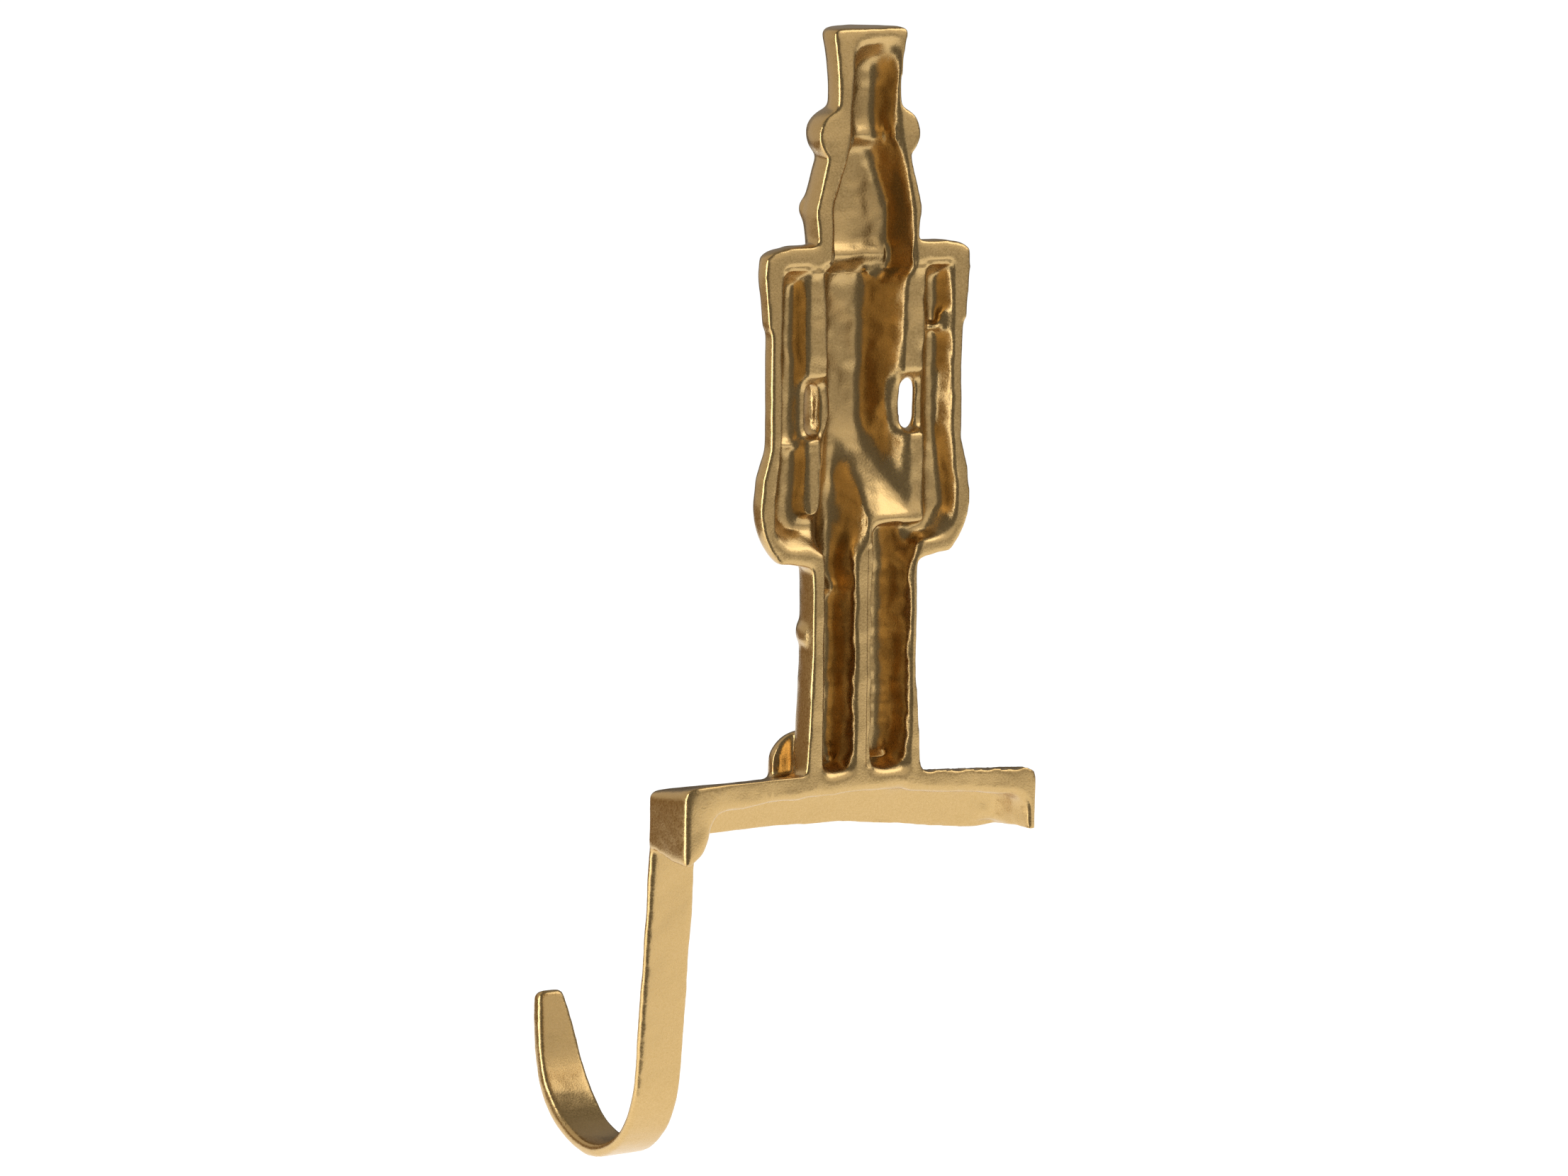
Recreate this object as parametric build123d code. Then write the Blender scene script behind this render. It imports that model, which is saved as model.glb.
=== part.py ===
"""Mantel stocking holder: a nutcracker soldier on an arched base, cast in one piece with its hook.

The casting has an open, hollow back. Its base stands on the mantel, its front wall and the hook's
shank hang just in front of the mantel's edge, and a stocking's loop goes over the J below.

Frame: the origin lies on the seat, where the mantel's front edge crosses the figure's middle plane.
Z is up, the figure faces -Y, its open back faces +Y, and the hook is at the +X end of the base.
Depths are counted forwards from the open rear plane, and half widths from a form's own middle.
"""
import os
from math import cos, radians, sin, sqrt, tan

from build123d import *

# Base
seat_depth = 15.5  # from the mantel's edge back to the open rear plane
base_half = 44.0
base_top = 17.5  # under the figure, and along the arm that carries the hook
far_arm_fall = 3.1  # by which the other arm's end is lower
rim_height = 6.6  # of both arms, seen from behind
front_wall = 2.6
apron_rise = 2.8  # front wall's lower edge above the seat, under the figure
hook_apron_rise = 2.6  # the same edge at the hook's end
far_apron_drop = 1.0  # the same edge below the seat, at the far end
foot_width = 7.3  # rounded foot behind the hook
foot_flat = 2.2
foot_rise = 2.0  # of the foot's underside at its front
foot_neck = 7.0  # height of the same foot's narrowest part
foot_belly = 1.2  # by which its rounded side stands inside a straight one
foot_belly_rise = 3.3
far_foot_width = 3.2
far_foot_taper = 0.8  # by which that foot is thinner at the seat
arch_rise = 1.2  # of the base's underside beside the hook's leg
arch_radius = 3.4  # of the underside's corners
front_fall = 3.6  # of the base's top towards its front
front_corner = 2.0
top_corner = 2.2

# Figure, from the base upwards
figure_height = 176.9  # seat to the hat's top; the legs take up what the other heights leave
skirt_length = 28.2  # hem to the foot of the slots
slot_length = 10.8  # slots between the arms and the waist
chest_length = 30.0  # top of the slots to the shoulders
head_length = 18.4  # shoulders to the hat's brim
brim_height = 10.2
hat_height = 17.1

# Hat and head
hat_half = 8.0
hat_flare = 1.3  # by which the hat's top is wider
hat_edge = 1.2  # bevel round the hat's top
hat_waist = 6.6  # narrowest part of the hat above the brim
brim_half = 12.6
brow_half = 10.4
head_half = 13.2
neck_half = 12.4
jaw_rise = 7.0  # widest part of the hair above the shoulders
head_axis = 3.2

# Coat and arms
collar_half = 10.2
chest_half = 12.6
chest_drop = 13.2  # fullest part of the chest below the shoulders
chest_mid_half = 11.9
chest_mid_rise = 12.6  # above the waist
waist_half = 10.9
skirt_mid_half = 11.6
skirt_mid_rise = 17.5  # above the hem
hem_half = 13.2
body_axis = 6.0
belt_height = 5.0
belt_stand = 0.4
buckle_width = 8.0
buckle_margin = 1.0  # of the buckle beyond the belt, all round
button_half = 1.2
button_stand = 0.8
button_x = 3.4
button_rise = 3.0  # lowest buttons above the slots
button_pitch = 6.4
button_rows = 3
arm_x = 18.9
arm_half = 4.9
arm_axis = 2.0
epaulette_half = 6.6
epaulette_length = 17.8
epaulette_drop = 6.2  # its widest part below the shoulder
pad_half = 6.3  # edge of the pad on the shoulder
pad_drop = 2.2
pad_top_half = 4.4
pad_top_drop = 0.9
fringe_step = 0.7
fringe_rise = 0.5
hand_half = 7.2
knuckle_rise = 14.2  # widest part of the hand above the hem
wrist_half = 6.6
wrist_rise = 20.0
palm_half = 6.0
palm_rise = 6.9
finger_half = 2.0
hand_length = 25.8  # hem to the cuff
finger_rise = 1.1  # of the hands' ends above the hem
web_depth = 5.5  # metal that joins arms and body behind the creases

# Legs and boots
leg_x = 6.9
leg_half = 6.5
leg_side = 2.5  # straight part of a leg's side before it rounds to the front
leg_depth = 12.8
boot_half = 7.3  # widens outwards only
instep_half = 6.8
boot_height = 31.5
boot_band = 3.4
boot_stand = 0.5
ankle_rise = 18.5
instep_rise = 7.5
toe_half = 7.9
toe_axis = 12.8
crotch_depth = 10.6  # metal that joins the legs
toe_height = 7.5

# Face and beard
eye_rise = 13.2  # above the shoulders
eye_half = 1.5
eye_x = 4.2
eye_sink = 2.9  # of the middle of an eye's peg behind the cheek
eye_length = 3.0
eye_tilt = 10.0  # degrees
nose_drop = 3.0  # below the eyes
nose_half = 2.1
nose_tip_half = 1.2
nose_length = 4.4
lip_drop = 3.2  # below the nose
moustache_length = 7.5
moustache_half = 1.8
moustache_tip = 0.5
moustache_x = 3.4
moustache_sink = 0.9
moustache_fall = 10.0  # degrees
moustache_sweep = 17.0  # degrees
beard_half = 7.6
beard_flare = 1.6  # by which its top is wider
beard_length = 14.0
beard_stand = 1.6
beard_top_stand = 1.0
curl_half = 3.4  # hair beside the jaw
curl_stand = 0.8
curl_turn = 30.0  # degrees from the side to the front

# Hollow back: each core is tapered, so its outline at the rear plane is wider than its floor
core_draft = 12.0  # degrees
core_shift = -1.4  # the core of the hat and head sat a little off the middle
ceiling_fall = 4.2  # of each ceiling, from the rear plane to the floor
ledge_fall = 2.6  # height of the sloping ledges at the brim and the neck, where the floor gets deeper
brim_ledge = 3.6  # top of the first above the brim's lower edge
neck_ledge = 5.0  # top of the second below the shoulders
hat_cap = 3.4  # metal left over the hat's core
hat_core_half = 5.1
hat_core_depth = 7.4
head_core_half = 9.6  # at the jaw
head_core_depth = 9.8
neck_core_half = 9.9
shoulder_bar = 4.2  # solid bar along the shoulders, at the rear plane
bar_slope = 3.8  # height over which it slopes in to the lands below
trough_depth = 12.4  # of the trough down the back
trough_half = 4.7  # at its floor
chest_core_half = 10.9
chest_foot_half = 8.6
waist_core_half = 7.6
skirt_core_half = 10.9
skirt_core_foot = 10.8  # end of the skirt's core above the hem
skirt_ramp = 6.0  # height over which that end slopes
land_sink = 0.9  # of the lands between the trough and the arms' channels
land_half = 15.3
land_foot = 10.6  # end of the lands above the hem
land_slope = 2.4  # height of the step at that end
channel_half = 3.3
channel_depth = 5.0
channel_draft = 20.0  # degrees
channel_x = 17.6
channel_foot = 4.8  # end of the channels above the hem
channel_turn = 3.6  # height of the turn at that end
channel_toe_x = 19.7  # where that end meets the turn
channel_toe_rise = 0.6
hand_swell = 1.5  # by which a channel widens in the hand
bowl_depth = 4.2  # of the bowl in the hand on the hook's side
bowl_rise = 3.2  # height over which its bottom slopes, and those of the channels
bowl_fall = 2.6  # of its rim towards the leg
bowl_inset = 2.4  # of its floor from its rim
flat_sink = 3.5  # of the flats beside the slots
flat_slope = 1.8  # height of the step above each flat
flat_step = 0.6  # and below it
slot_half = 1.65
slot_x = 11.7
leg_pocket_half = 4.1
leg_pocket_x = 5.9
leg_pocket_shift = -0.6  # both leg pockets sit a little off the middle
leg_wall = 2.6
rib_height = 1.8  # rib between the trough and the far leg's pocket
passage_fall = 1.0  # of the far hand's passage, away from the leg
passage_turn = 2.6  # length of the slope between its floor and the leg
boot_floor = 1.4  # thin floor of the boot's pocket on the hook's side
boot_ramp = 5.0  # by which that floor rises towards the front
notch_rise = 0.6  # of the rim below the far boot
notch_radius = 4.0

# Hook
strip_width = 11.6
strip_thickness = 2.3
tip_width = 5.8
tip_thickness = 4.0
hook_radius = 22.9  # inside the J
hook_drop = 70.4  # inside of the J below the seat
tip_rise = 28.4  # tip above the inside of the J
shank_lean = 6.8  # degrees forwards
limb_lean = 18.5  # degrees forwards
strip_edge = 0.8
tip_corner = 2.0
strip_inset = 0.2  # of the strip's edge from the base's end

# Heights above the seat
hat_top = figure_height
brim_top = hat_top - hat_height
brow = brim_top - brim_height
shoulder = brow - head_length
slot_head = shoulder - chest_length
slot_foot = slot_head - slot_length
waist = (slot_foot + slot_head) / 2
hem = slot_foot - skirt_length
overlap = 3.0  # by which joined forms run into each other
beyond = 400.0  # longer than the part, for cutting tools
touch = 0.1  # shorter than any edge, to tell edges apart


def at_depth(depth):
    """Y of a point at this depth in front of the rear plane."""
    return seat_depth - depth


def upright(x, depth):
    """Upright plane facing the front, with its own x along X and its own y along Z."""
    return Plane(origin=(x, at_depth(depth), 0), x_dir=(1, 0, 0), z_dir=(0, -1, 0))


def block(x0, x1, z0, z1, depth0, depth1):
    """Box between two X, two heights and two depths."""
    middle = Pos((x0 + x1) / 2, at_depth((depth0 + depth1) / 2), (z0 + z1) / 2)
    return middle * Box(x1 - x0, depth1 - depth0, z1 - z0)


def both_sides(form):
    """A form and its mirror image across the figure's middle plane."""
    return form + mirror(form, about=Plane.YZ)


def face_of(*edges):
    """Face inside a row of edges, closed by a straight line where they end."""
    start = edges[0] @ 0
    end = edges[-1] @ 1
    return make_face([*edges, Line(end, start)])


def turned(profile, x, depth, to_rear=True):
    """Front half of a turned form from its right-hand profile, with straight sides back to the rear plane."""
    half = upright(x, depth) * profile
    form = revolve(half, Axis((x, at_depth(depth), 0), (0, 0, -1)), 180)
    if to_rear:
        whole = half + mirror(half, about=Plane((x, 0, 0), z_dir=(1, 0, 0)))
        form += extrude(whole, amount=depth, dir=(0, 1, 0))
    return form


def d_section(z, x, half, side, depth):
    """Level D-shaped section: straight back and sides, elliptical front."""
    rear = at_depth(0)
    turn = at_depth(side)
    front = EllipticalCenterArc((x, turn), half, depth - side, 180, arc_size=180)
    left = Line((x - half, rear), (x - half, turn))
    right = Line((x + half, turn), (x + half, rear))
    return Plane.XY.offset(z) * face_of(left, front, right)


def hat_and_head():
    """Shako with a flared top, its rolled brim, and a head whose hair falls to the shoulders."""
    top_half = hat_half + hat_flare
    low = shoulder - overlap
    jaw = (head_half, shoulder + jaw_rise)
    brim_low = (brow_half, brow)
    hat_low = (hat_half, brim_top)
    crown = (top_half, hat_top - hat_edge)
    return turned(
        face_of(
            Polyline((0, low), (neck_half, low), (neck_half, shoulder), jaw, brim_low),
            ThreePointArc(brim_low, (brim_half, brow + brim_height / 2), hat_low),
            ThreePointArc(hat_low, (hat_half, brim_top + hat_waist), crown),
            Polyline(crown, (top_half - hat_edge, hat_top), (0, hat_top)),
        ),
        0,
        head_axis,
    )


def coat():
    """Full chest, narrow waist and a skirt that widens to the hem, with belt and buckle."""
    outline = Polyline(
        (0, hem),
        (hem_half, hem),
        (skirt_mid_half, hem + skirt_mid_rise),
        (waist_half, waist),
        (chest_mid_half, waist + chest_mid_rise),
        (chest_half, shoulder - chest_drop),
        (collar_half, shoulder),
        (0, shoulder),
    )
    body = turned(face_of(outline), 0, body_axis)
    belt_half = waist_half + belt_stand
    belt = turned(Pos(belt_half / 2, waist) * Rectangle(belt_half, belt_height), 0, body_axis, to_rear=False)
    wide = buckle_width / 2
    tall = belt_height / 2 + buckle_margin
    buckle = block(-wide, wide, waist - tall, waist + tall, body_axis, body_axis + belt_half + buckle_margin)
    return body + belt + buckle + buttons()


def buttons():
    """Two rows of buttons, each standing a little out of the chest."""
    low = waist + chest_mid_rise
    slope = (chest_half - chest_mid_half) / (shoulder - chest_drop - low)
    pegs = Part()
    for row in range(button_rows):
        z = slot_head + button_rise + row * button_pitch
        half = chest_mid_half + slope * (z - low)
        front = body_axis + sqrt(half**2 - button_x**2) + button_stand
        peg = Cylinder(button_half, front - body_axis, rotation=(90, 0, 0))
        pegs += Pos(button_x, at_depth((front + body_axis) / 2), z) * peg
    return both_sides(pegs)


def arm():
    """One straight arm with its epaulette above and its cuff and hand below."""
    fringe = shoulder - epaulette_length
    finger = (finger_half, hem + finger_rise)
    knuckle = (hand_half, hem + knuckle_rise)
    sleeve = Polyline(
        knuckle,
        (wrist_half, hem + wrist_rise),
        (arm_half, hem + hand_length),
        (arm_half, fringe),
        (arm_half + fringe_step, fringe + fringe_rise),
        (epaulette_half, shoulder - epaulette_drop),
        (pad_half, shoulder - pad_drop),
        (pad_top_half, shoulder - pad_top_drop),
        (0, shoulder),
    )
    return turned(
        face_of(
            Line((0, hem + finger_rise), finger),
            ThreePointArc(finger, (palm_half, hem + palm_rise), knuckle),
            sleeve,
        ),
        arm_x,
        arm_axis,
    )


def leg():
    """One leg, which widens into its boot, with the boot's top band and rounded toe."""
    low = base_top - front_fall - overlap
    boot_spread = boot_half - leg_half
    levels = [
        (hem + overlap, 0),
        (base_top + ankle_rise, 0),
        (base_top + instep_rise, instep_half - leg_half),
        (low, boot_spread),
    ]
    limb = loft([d_section(z, leg_x + out, leg_half + out, leg_side, leg_depth) for z, out in levels])
    band_low = base_top + boot_height - boot_band
    band_section = d_section(band_low, leg_x, leg_half + boot_stand, leg_side, leg_depth + boot_stand)
    band = extrude(band_section, amount=boot_band, dir=(0, 0, 1))
    band -= block(-beyond, beyond, base_top, hem, 0, leg_side)
    toe_z = base_top + toe_height - toe_half
    toe_side = Polyline((0, low), (toe_half, low), (toe_half, toe_z))
    toe_round = CenterArc((0, toe_z), toe_half, 0, 90)
    toe = turned(face_of(toe_side, toe_round), leg_x + boot_spread, toe_axis, to_rear=False)
    return limb + band + toe


def face():
    """Plain nose, round eyes, swept moustache, curls beside the jaw and a broad square beard."""
    eye_z = shoulder + eye_rise
    nose_z = eye_z - nose_drop
    lip_z = nose_z - lip_drop
    cheek = head_axis + head_half
    nose = Pos(0, at_depth(cheek), nose_z) * Rot(90, 0, 0) * Cone(nose_half, nose_tip_half, nose_length)
    eye_peg = Cylinder(eye_half, eye_length)
    eye = Pos(eye_x, at_depth(cheek - eye_sink), eye_z) * Rot(90 - eye_tilt, 0, 0) * eye_peg
    whisker = Cone(moustache_half, moustache_tip, moustache_length)
    swept = Rot(0, 90 + moustache_fall, -moustache_sweep) * whisker
    moustache = Pos(moustache_x, at_depth(cheek - moustache_sink), lip_z) * swept
    beard_top = d_section(lip_z, 0, beard_half + beard_flare, head_axis, cheek + beard_top_stand)
    beard_front = body_axis + chest_half + beard_stand
    beard_end = d_section(lip_z - beard_length, 0, beard_half, head_axis, beard_front)
    reach = head_half + curl_stand - curl_half
    turn = radians(curl_turn)
    curl_at = Pos(reach * cos(turn), at_depth(head_axis + reach * sin(turn)), shoulder + jaw_rise)
    curl = curl_at * Sphere(curl_half)
    return nose + both_sides(eye + moustache + curl) + loft([beard_top, beard_end])


def figure():
    """The soldier's outer form, flat at the rear plane."""
    corners = around(0, [(hem_half, hem), (arm_x, hem + finger_rise), (arm_x, shoulder)])
    web = extrude(upright(0, 0) * make_face(Polyline(*corners, close=True)), amount=web_depth)
    crotch = block(-leg_x, leg_x, base_top - overlap, hem + overlap, 0, crotch_depth)
    return hat_and_head() + face() + coat() + both_sides(arm()) + both_sides(leg()) + web + crotch


def base_section(depth, fall):
    """Outline of the base at this depth, with its top lowered by this fall."""
    low = -far_apron_drop - overlap
    outline = Polyline(
        (-base_half, low),
        (base_half, low),
        (base_half, base_top - fall),
        (0, base_top - fall),
        (-base_half, base_top - far_arm_fall - fall),
        close=True,
    )
    section = make_face(outline)
    ends = section.vertices().filter_by(lambda v: abs(v.X) > base_half / 2 and v.Y > 0)
    return upright(0, depth) * fillet(ends, top_corner)


def base():
    """Base with a top that falls towards its front, where its edges are well rounded."""
    depth = seat_depth + front_wall
    form = loft([base_section(0, 0), base_section(depth, front_fall)], ruled=True)
    front = form.faces().sort_by(Axis.Y)[0]
    edges = front.edges().filter_by(lambda e: e.center().Z > 0)
    return fillet(edges, front_corner)


def base_hollow():
    """Space under the base: open below and behind, closed in front by the apron."""
    rim_low = base_top - rim_height
    inner = base_half - foot_width
    toe_in = base_half - foot_flat
    far_inner = far_foot_width - base_half
    far_toe = far_inner - far_foot_taper
    under_leg = leg_x + leg_half
    foot_side = (inner, foot_neck)
    arch = FilletPolyline(
        foot_side,
        (inner, rim_low),
        (under_leg, rim_low + arch_rise),
        (-under_leg, rim_low),
        (far_inner, rim_low - far_arm_fall),
        (far_toe, 0),
        (far_toe, -beyond / 4),
        radius=arch_radius,
    )
    outline = face_of(
        Line((toe_in, -beyond / 4), (toe_in, 0)),
        ThreePointArc((toe_in, 0), (inner + foot_belly, foot_belly_rise), foot_side),
        arch,
    )
    return extrude(upright(0, 0) * outline, amount=seat_depth)


def apron_cut():
    """Space under the front wall's lower edge, which sinks in one long curve to the far end."""
    far_end = (-base_half, -far_apron_drop)
    hook_end = (base_half, hook_apron_rise)
    under = face_of(
        Line((-beyond, -far_apron_drop), far_end),
        ThreePointArc(far_end, (0, apron_rise), hook_end),
        Line(hook_end, (beyond, hook_apron_rise)),
        Line((beyond, hook_apron_rise), (beyond, -beyond)),
        Line((beyond, -beyond), (-beyond, -beyond)),
    )
    return extrude(upright(0, seat_depth) * under, amount=beyond)


def seat_cut():
    """Space below the level seats behind the apron, with the hook's foot rising towards its front."""
    mantel = block(-beyond, beyond, -beyond, 0, 0, seat_depth)
    rise = Polyline(
        (at_depth(seat_depth / 2), 0),
        (at_depth(seat_depth + front_wall), foot_rise),
        (at_depth(seat_depth + front_wall), -beyond),
        (at_depth(seat_depth / 2), -beyond),
        close=True,
    )
    under_foot = extrude(Plane.YZ * make_face(rise), amount=beyond)
    return mantel + Pos(base_half - foot_width - overlap, 0, 0) * under_foot


def core(rear, floor, depth):
    """Space left by a tapered core, from its outline at the rear plane to its smaller one at its floor."""
    rear_face = upright(0, 0) * make_face(Polyline(*rear, close=True))
    floor_face = upright(0, depth) * make_face(Polyline(*floor, close=True))
    return loft([rear_face, floor_face], ruled=True)


def straight_core(x, half, floor_half, low, floor_low, high, floor_high, depth):
    """Core with a four-sided outline, level ends and sloping walls."""
    rear = [(x - half, low), (x + half, low), (x + half, high), (x - half, high)]
    floor = [(x - floor_half, floor_low), (x + floor_half, floor_low)]
    floor += [(x + floor_half, floor_high), (x - floor_half, floor_high)]
    return core(rear, floor, depth)


def head_pocket():
    """Hollow of the hat and head, deeper from the brim down."""
    inset = hat_core_depth * tan(radians(core_draft))
    ceiling = hat_top - hat_cap
    step = brow + brim_height / 2
    hat = straight_core(
        core_shift,
        hat_core_half,
        hat_core_half - inset,
        brow - overlap,
        brow - overlap,
        ceiling,
        ceiling - ceiling_fall,
        hat_core_depth,
    )
    inset = head_core_depth * tan(radians(core_draft))
    jaw = shoulder + jaw_rise
    low = shoulder - shoulder_bar - overlap
    halves = [(neck_core_half, low), (head_core_half, jaw), (hat_core_half, step)]
    floor_halves = [(half - inset, z) for half, z in halves[:2]]
    floor_halves.append((hat_core_half - inset / 2, step - ceiling_fall))
    head = core(around(core_shift, halves), around(core_shift, floor_halves), head_core_depth)
    brim = ledge(core_shift, hat_core_half - inset, brow + brim_ledge, hat_core_depth, head_core_depth)
    neck = ledge(0, trough_half, shoulder - neck_ledge, head_core_depth, trough_depth)
    return hat + head + brim + neck


def ledge(x, half, top, shallow, deep):
    """Space under a sloping ledge between a shallow floor above it and a deeper one below it."""
    foot = top - 2 * ledge_fall
    outline = Polyline(
        (at_depth(shallow), top),
        (at_depth(deep), top - ledge_fall),
        (at_depth(deep), foot),
        (at_depth(shallow), foot),
        close=True,
    )
    return Pos(x, 0, 0) * extrude(Plane.YZ * make_face(outline), amount=half, both=True)


def around(x, halves):
    """Points of an outline with these half widths and heights, up one side and down the other."""
    up = [(x + half, z) for half, z in halves]
    down = [(x - half, z) for half, z in reversed(halves)]
    return up + down


def coat_pocket():
    """Trough down the back: wide in the chest, narrow between the flats, wide again in the skirt."""
    ceiling = shoulder - shoulder_bar
    chest_halves = [(chest_foot_half, slot_head), (chest_core_half, ceiling)]
    chest_floor = [(trough_half, slot_head), (trough_half, ceiling - ceiling_fall)]
    chest = core(around(0, chest_halves), around(0, chest_floor), trough_depth)
    end = hem + skirt_core_foot
    waist_low = end + skirt_ramp
    waist_high = ceiling - 2 * ceiling_fall
    narrow = straight_core(
        0, waist_core_half, trough_half, waist_low, waist_low, waist_high, waist_high, trough_depth
    )
    skirt = straight_core(
        0, skirt_core_half, trough_half, end, end + skirt_ramp, slot_foot, slot_foot, trough_depth
    )
    return chest + narrow + skirt


def arm_channel():
    """Channel inside one arm, from the shoulder's bar down into the hand."""
    inner = channel_x - channel_half
    outer = channel_x + channel_half
    head = shoulder - shoulder_bar
    cuff = hem + hand_length + overlap
    foot = hem + channel_foot
    inset = channel_depth * tan(radians(channel_draft))
    rear = [
        (inner, foot),
        (inner, head),
        (outer, head),
        (outer, cuff),
        (outer + hand_swell, hem + knuckle_rise),
        (outer + hand_swell, foot + channel_turn),
        (channel_toe_x, foot + channel_toe_rise),
    ]
    floor = [
        (inner + inset, foot + bowl_rise),
        (inner + inset, head - ceiling_fall),
        (outer - inset, head - ceiling_fall),
        (outer - inset, cuff),
        (outer + hand_swell - inset, hem + knuckle_rise),
        (outer + hand_swell - inset, foot + channel_turn + bowl_rise),
        (channel_toe_x - inset, foot + channel_toe_rise + bowl_rise),
    ]
    return core(rear, floor, channel_depth)


def hand_bowl():
    """Bowl at the end of the hand on the hook's side, where its channel runs into the trough."""
    inner = leg_pocket_x + leg_pocket_half + leg_pocket_shift - overlap
    outer = channel_x + channel_half
    foot = hem + channel_foot
    toe = foot + channel_toe_rise
    high = foot + 2 * bowl_rise
    rear = [(inner, foot - bowl_fall), (channel_toe_x, toe), (outer, high), (inner, high)]
    floor = [(inner, foot - bowl_fall + bowl_rise), (channel_toe_x - bowl_inset, toe + bowl_rise)]
    floor += [(outer - bowl_inset, high), (inner, high)]
    return core(rear, floor, bowl_depth)


def lands():
    """Sunk lands beside the trough, with the deeper flats of the waist between them."""
    bar = shoulder - shoulder_bar
    foot = hem + land_foot
    profile = Polyline(
        (at_depth(0), bar),
        (at_depth(land_sink), bar - bar_slope),
        (at_depth(land_sink), slot_head + flat_slope),
        (at_depth(flat_sink), slot_head),
        (at_depth(flat_sink), slot_foot),
        (at_depth(land_sink), slot_foot - flat_step),
        (at_depth(land_sink), foot + land_slope),
        (at_depth(0), foot),
        close=True,
    )
    return extrude(Plane.YZ * make_face(profile), amount=land_half, both=True)


def slot():
    """Open slot between one arm and the waist."""
    opening = SlotOverall(slot_length, 2 * slot_half, rotation=90)
    return extrude(upright(slot_x, 0) * Pos(0, waist) * opening, amount=web_depth + touch)


def hand_passage():
    """Opening between the far leg's pocket and the far hand's channel."""
    leg_in = leg_pocket_half - leg_pocket_x + leg_pocket_shift
    leg_out = -leg_pocket_half - leg_pocket_x + leg_pocket_shift
    high = hem + land_foot - rib_height
    low = hem + channel_foot
    outline = Polyline(
        (leg_in, hem),
        (leg_in, high),
        (-channel_x, high - passage_fall),
        (-channel_x, low),
        (leg_out - passage_turn, low),
        (leg_out, hem - overlap),
        close=True,
    )
    return extrude(upright(0, 0) * make_face(outline), amount=channel_depth)


def leg_pocket(x, foot, head):
    """Hollow of one leg between two heights, with straight sides and a round front."""
    deep = leg_depth - leg_wall
    turn = at_depth(deep - leg_pocket_half)
    left = x - leg_pocket_half
    right = x + leg_pocket_half
    section = face_of(
        Line((left, at_depth(0)), (left, turn)),
        ThreePointArc((left, turn), (x, at_depth(deep)), (right, turn)),
        Line((right, turn), (right, at_depth(0))),
    )
    return extrude(Plane.XY.offset(foot) * section, amount=head - foot)


def boot_slope():
    """Slope by which the far boot's pocket gets deeper down to the base's front wall."""
    low = base_top - rim_height
    deep = leg_depth - leg_wall
    outline = Polyline(
        (at_depth(deep - overlap), base_top),
        (at_depth(deep), base_top),
        (at_depth(seat_depth), low - overlap),
        (at_depth(deep - overlap), low - overlap),
        close=True,
    )
    middle = leg_pocket_shift - leg_pocket_x
    wedge = extrude(Plane.YZ * make_face(outline), amount=leg_pocket_half, both=True)
    return Pos(middle, 0, 0) * wedge


def boot_rise(x, low):
    """Metal that makes a boot's floor rise towards the front."""
    deep = leg_depth - leg_wall
    outline = Polyline(
        (at_depth(land_sink), low),
        (at_depth(deep), low + boot_ramp),
        (at_depth(deep + overlap), low + boot_ramp),
        (at_depth(deep + overlap), low - overlap),
        (at_depth(land_sink), low - overlap),
        close=True,
    )
    return Pos(x, 0, 0) * extrude(Plane.YZ * make_face(outline), amount=2 * leg_pocket_half, both=True)


def boot_notch():
    """Rounded corner by which the far boot's pocket opens into the hollow base."""
    low = base_top - rim_height + arch_rise
    high = base_top + toe_height
    inner = leg_pocket_half - leg_pocket_x + leg_pocket_shift
    edge = FilletPolyline((leg_x, low), (inner, low + notch_rise), (inner, high), radius=notch_radius)
    outline = face_of(
        edge,
        Line((inner, high), (-leg_x, high)),
        Line((-leg_x, high), (-leg_x, low - overlap)),
        Line((-leg_x, low - overlap), (leg_x, low - overlap)),
    )
    return extrude(upright(0, 0) * outline, amount=leg_depth - leg_wall)


def hollow_back():
    """Everything that is open behind the casting's walls."""
    floor = base_top - rim_height
    boot = floor + arch_rise + boot_floor
    hook_leg_x = leg_pocket_shift + leg_pocket_x
    far_leg = leg_pocket(leg_pocket_shift - leg_pocket_x, floor - overlap, hem + land_foot - rib_height)
    hook_leg = leg_pocket(hook_leg_x, boot, hem + skirt_core_foot + skirt_ramp)
    hook_leg -= boot_rise(hook_leg_x, boot)
    legs = far_leg + hook_leg + boot_slope() + boot_notch() + hand_passage()
    body = coat_pocket() + lands() + both_sides(arm_channel() + slot()) + hand_bowl()
    return base_hollow() + head_pocket() + body + legs


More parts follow.
